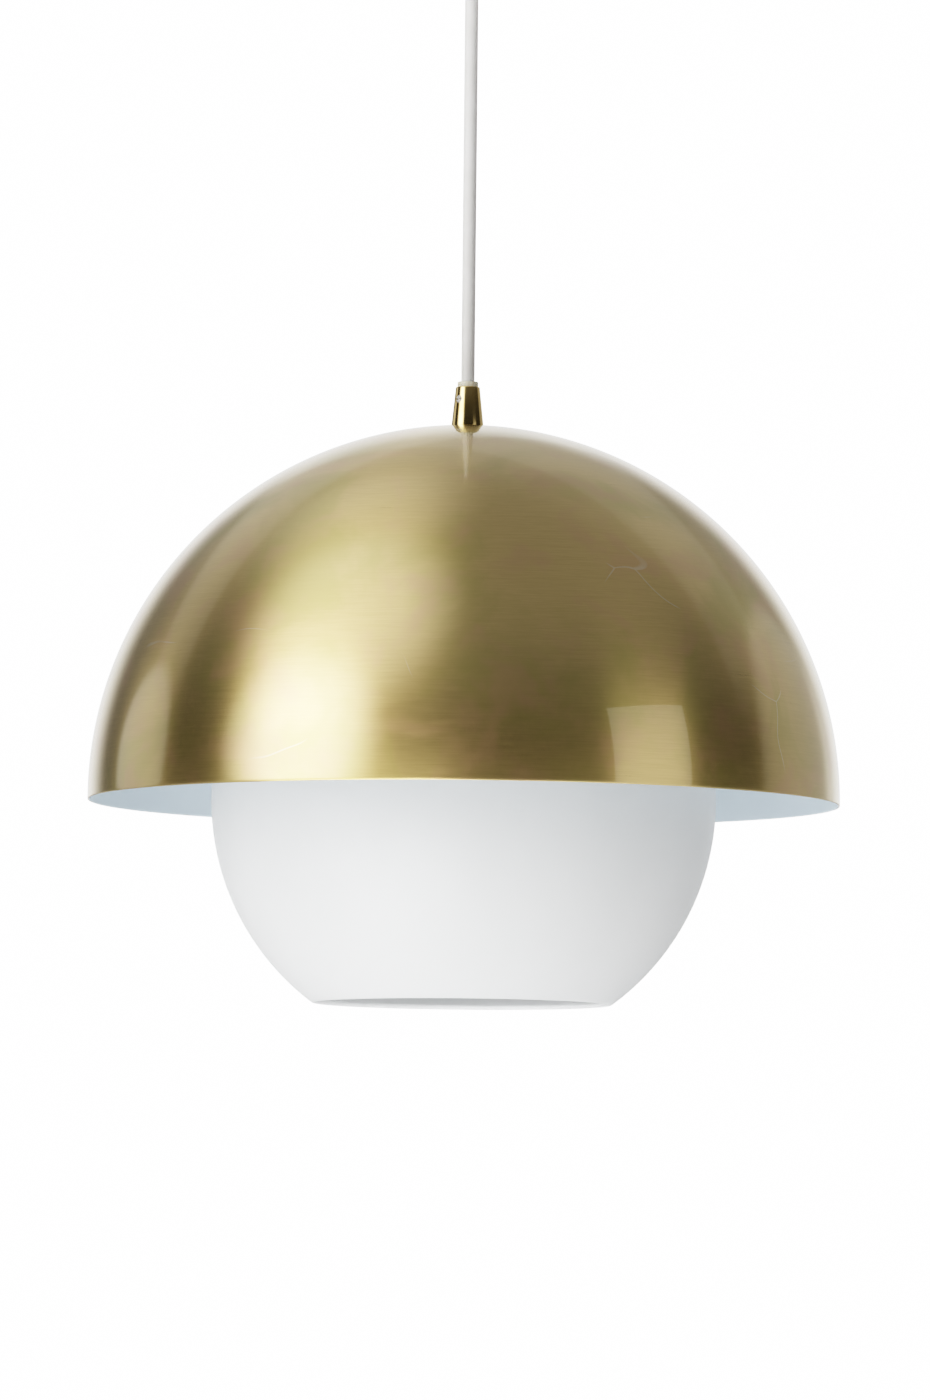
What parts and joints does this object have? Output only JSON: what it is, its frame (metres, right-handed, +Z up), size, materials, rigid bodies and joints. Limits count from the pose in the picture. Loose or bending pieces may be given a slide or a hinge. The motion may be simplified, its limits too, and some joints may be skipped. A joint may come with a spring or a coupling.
{
  "type": "pendant ceiling light",
  "caption": "Pendant ceiling light with a spun brass dome over an open opal glass ball, hung on a straight white cord.",
  "frame": {"origin": "middle of the fixing strap's upper face, in the plane of the ceiling", "axes": "+Z up along the cord, +X to the right along the fixing strap, -Y towards the viewer"},
  "size_m": [0.38, 0.38, 0.5768],
  "materials": {
    "lacquered_brass": "spun, brushed round and clear lacquered outside; the dome is painted pale blue-white inside",
    "polished_brass": "turned and polished",
    "opal_glass": "acid-etched opal, satin",
    "cord_white": "smooth PVC sheath",
    "nylon_ivory": "translucent nylon",
    "nylon_white": "moulded nylon",
    "canopy_white": "satin powder coat",
    "zinc_steel": "bright zinc plate",
    "nickel": "nickel plate",
    "terminal_brass": "drawn brass",
    "core_brown": "PVC core",
    "core_blue": "PVC core",
    "core_green_yellow": "striped PVC core",
    "block_white": "moulded polyamide",
    "holder_white": "moulded thermoplastic",
    "steatite": "unglazed steatite",
    "silicone": "silicone washer",
    "lamp_cap_nickel": "rolled aluminium thread",
    "black_glass": "vitrite",
    "lamp_plastic": "white polycarbonate",
    "lamp_globe": "frosted polycarbonate",
    "led_aluminium": "aluminium-core board, white mask",
    "board_green": "glass-fibre board"
  },
  "bodies": {
    "ceiling_fitting": {"ceiling_bracket": "zinc_steel", "canopy_cup": "canopy_white", "canopy_gland": "nylon_white", "canopy_gland_nut": "nylon_white", "canopy_cord_end": "cord_white", "canopy_core_live": "core_brown", "canopy_core_neutral": "core_blue", "canopy_core_earth": "core_green_yellow", "terminal_block": "block_white", "terminal_sleeves": "terminal_brass", "terminal_screws": "zinc_steel", "earth_screw": "terminal_brass", "earth_tag": "terminal_brass"},
    "canopy_screw_left": {"canopy_screw_left": "nickel"},
    "canopy_screw_right": {"canopy_screw_right": "nickel"},
    "cord_neck": {"cord_neck": "cord_white"},
    "pendant": {"cord": "cord_white", "cord_lower_end": "cord_white", "grip_body": "polished_brass", "grip_bush": "nylon_ivory", "threaded_nipple": "zinc_steel", "dome_shade": "lacquered_brass", "dome_washer": "zinc_steel", "dome_nut": "zinc_steel", "holder_cap": "holder_white", "holder_skirt": "holder_white", "holder_core": "steatite", "screw_shell": "terminal_brass", "centre_contact": "terminal_brass", "side_contact": "terminal_brass", "holder_terminal_screws": "zinc_steel", "upper_ring": "holder_white", "ring_gasket": "silicone", "lamp_core_live": "core_brown", "lamp_core_neutral": "core_blue", "lamp_core_earth": "core_green_yellow", "earth_washer": "terminal_brass"},
    "grip_screw": {"grip_screw": "nylon_white"},
    "glass": {"glass_shade": "opal_glass", "glass_gasket": "silicone"},
    "shade_ring": {"shade_ring": "holder_white"},
    "bulb": {"bulb_globe": "lamp_globe", "bulb_housing": "lamp_plastic", "bulb_cap": "lamp_cap_nickel", "bulb_insulator": "black_glass", "bulb_tip": "terminal_brass", "bulb_led_board": "led_aluminium", "bulb_driver_board": "board_green"}
  },
  "joints": [
    {"name": "swing_side", "type": "hinge", "parent": "ceiling_fitting", "child": "cord_neck", "pos_m": [0, 0, -0.05], "axis": [0, 1, 0], "range_deg": [-20, 20]},
    {"name": "swing_front", "type": "hinge", "parent": "cord_neck", "child": "pendant", "pos_m": [0, 0, -0.058], "axis": [1, 0, 0], "range_deg": [-20, 20]},
    {"name": "canopy_screw_left_turn", "type": "hinge", "parent": "ceiling_fitting", "child": "canopy_screw_left", "pos_m": [-0.0503, 0, -0.01], "axis": [-1, 0, 0], "range_deg": [0, 360]},
    {"name": "canopy_screw_right_turn", "type": "hinge", "parent": "ceiling_fitting", "child": "canopy_screw_right", "pos_m": [0.0503, 0, -0.01], "axis": [1, 0, 0], "range_deg": [0, 360]},
    {"name": "grip_screw_turn", "type": "hinge", "parent": "pendant", "child": "grip_screw", "pos_m": [-0.00445, -0.00445, -0.2699], "axis": [-0.7071, -0.7071, 0], "range_deg": [0, 360]},
    {"name": "glass_drop", "type": "slide", "parent": "pendant", "child": "glass", "axis": [0, 0, -1], "range_m": [0, 0.00875]},
    {"name": "ring_turn", "type": "hinge", "parent": "glass", "child": "shade_ring", "pos_m": [0, 0, -0.3563], "axis": [0, 0, -1], "range_deg": [0, 1260]},
    {"name": "bulb_out", "type": "slide", "parent": "pendant", "child": "bulb", "axis": [0, 0, -1], "range_m": [0, 0.26]}
  ],
  "couplings": [
    {"joint": "ring_turn", "follows": "glass_drop", "rad_per_m": 2513.3}
  ]
}
